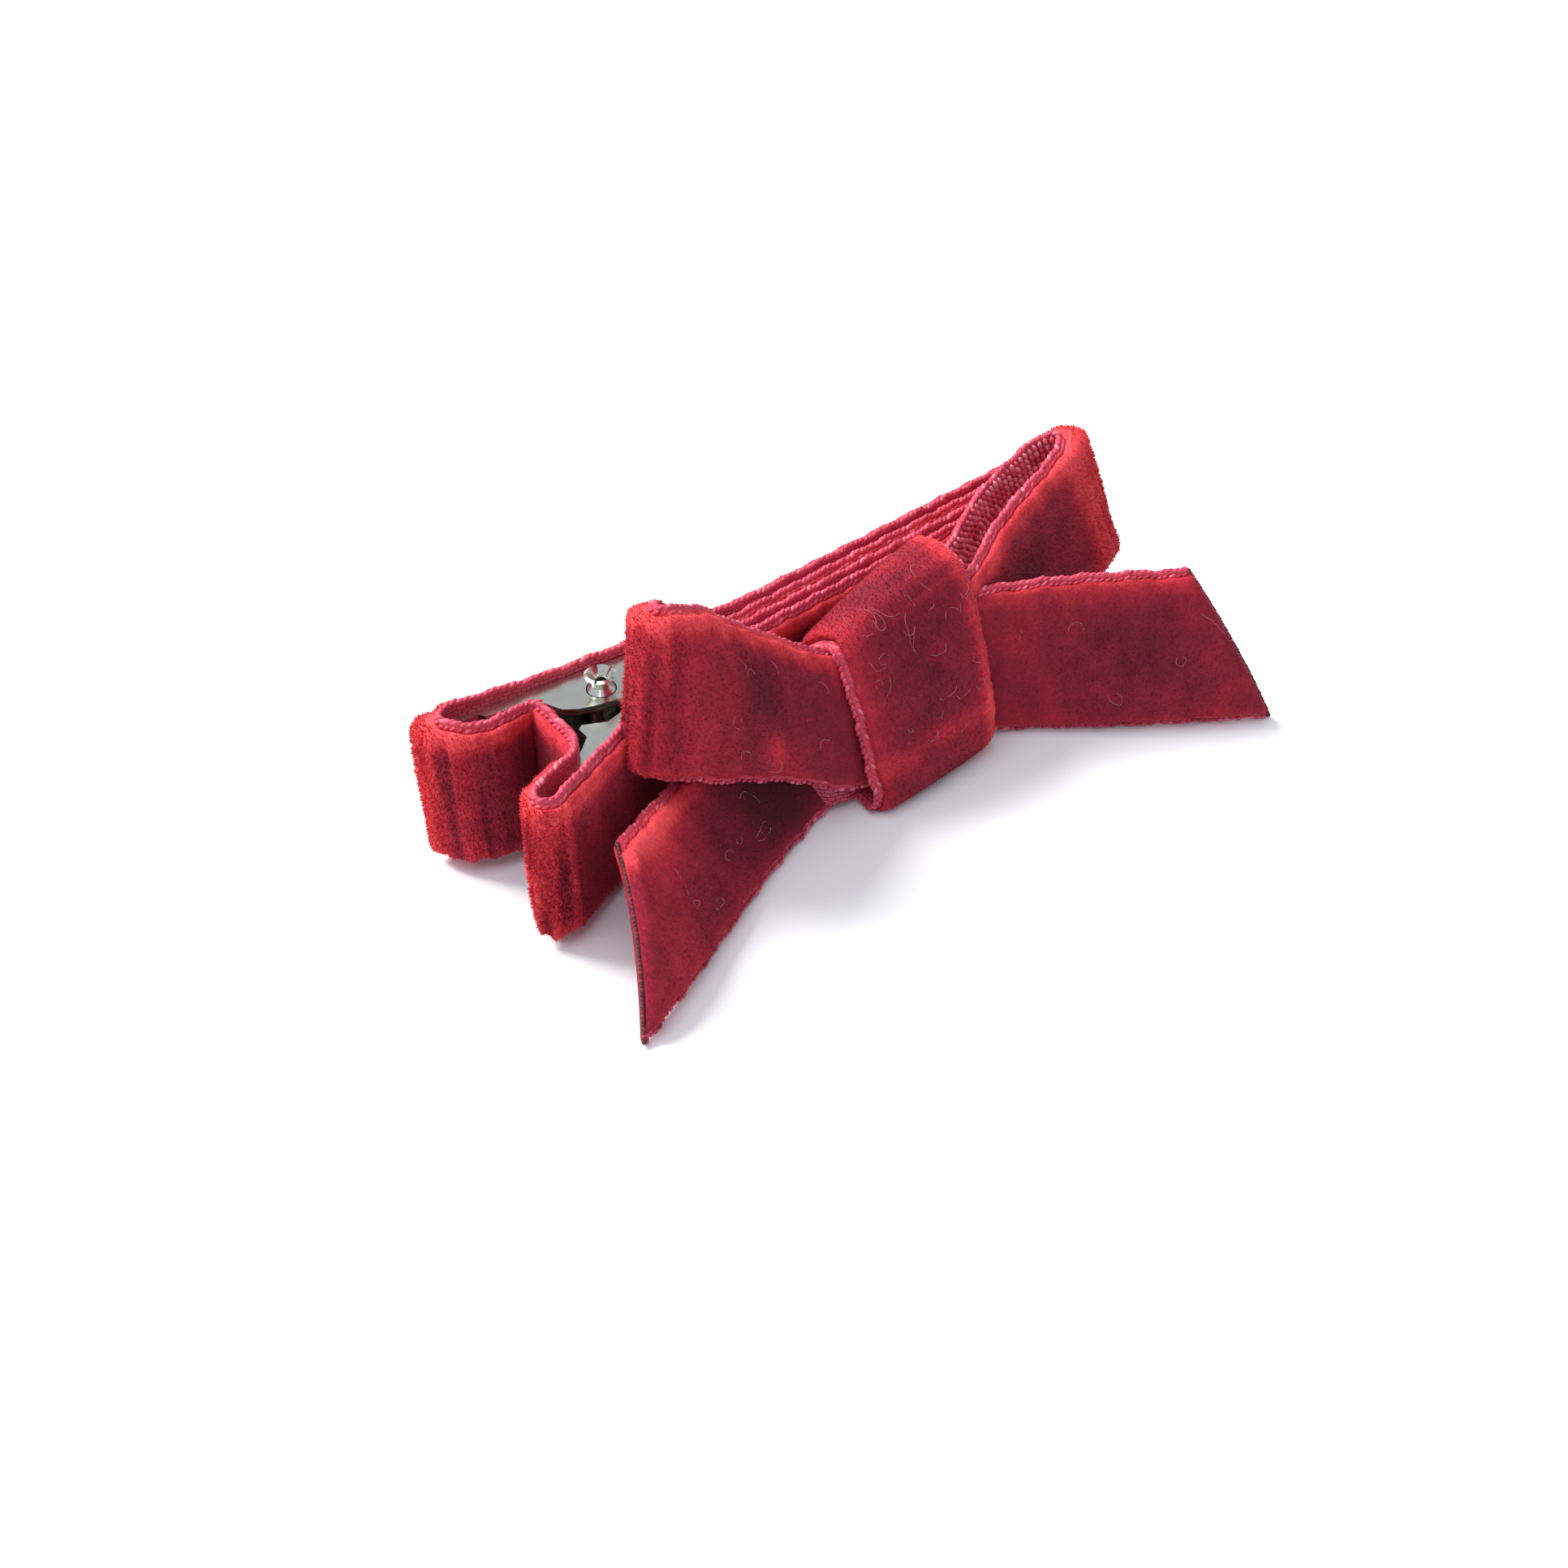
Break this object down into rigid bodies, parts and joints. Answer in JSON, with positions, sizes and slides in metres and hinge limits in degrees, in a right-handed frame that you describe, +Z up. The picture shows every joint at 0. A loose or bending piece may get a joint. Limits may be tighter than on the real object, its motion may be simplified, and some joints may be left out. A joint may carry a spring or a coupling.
{
  "type": "barrette",
  "caption": "Sprung alligator hair clip lined with red velvet ribbon, with a flat two-loop velvet bow on its front lever, lying on its side.",
  "frame": {"origin": "centre of the bounding box on the table, under the clip as it lies on its side", "axes": "+X along the closed jaws towards the nose, +Z up along the hinge pin and the ribbon's width, -Y towards the bow"},
  "size_m": [0.0468, 0.0244, 0.0163],
  "materials": {
    "nickel_steel": "bright nickel plate on stamped spring steel",
    "spring_wire": "drawn spring wire",
    "velvet_ribbon": "cut-pile velvet with woven back and selvedges",
    "hot_glue": "set hot-melt glue"
  },
  "bodies": {
    "back": {"back_lever": "nickel_steel", "hinge_pin": "nickel_steel", "torsion_spring": "spring_wire", "back_cover_ribbon": "velvet_ribbon", "back_jaw_lining": "velvet_ribbon", "back_handle_lining": "velvet_ribbon", "hinge_web_ribbon": "velvet_ribbon"},
    "front": {"front_lever": "nickel_steel", "front_cover_ribbon": "velvet_ribbon", "front_jaw_lining": "velvet_ribbon", "front_handle_lining": "velvet_ribbon", "bow_left_loop": "velvet_ribbon", "bow_right_loop": "velvet_ribbon", "bow_left_tail": "velvet_ribbon", "bow_right_tail": "velvet_ribbon", "knot_band": "velvet_ribbon", "bow_glue": "hot_glue"}
  },
  "joints": [
    {"name": "jaw_hinge", "type": "hinge", "parent": "back", "child": "front", "pos_m": [-0.01349, 0.00758, 0.005], "axis": [0, 0, -1], "range_deg": [0, 26], "stiffness_Nm_per_rad": 0.01, "springref_deg": -22.92, "deforming": ["torsion_spring", "hinge_web_ribbon"]}
  ]
}
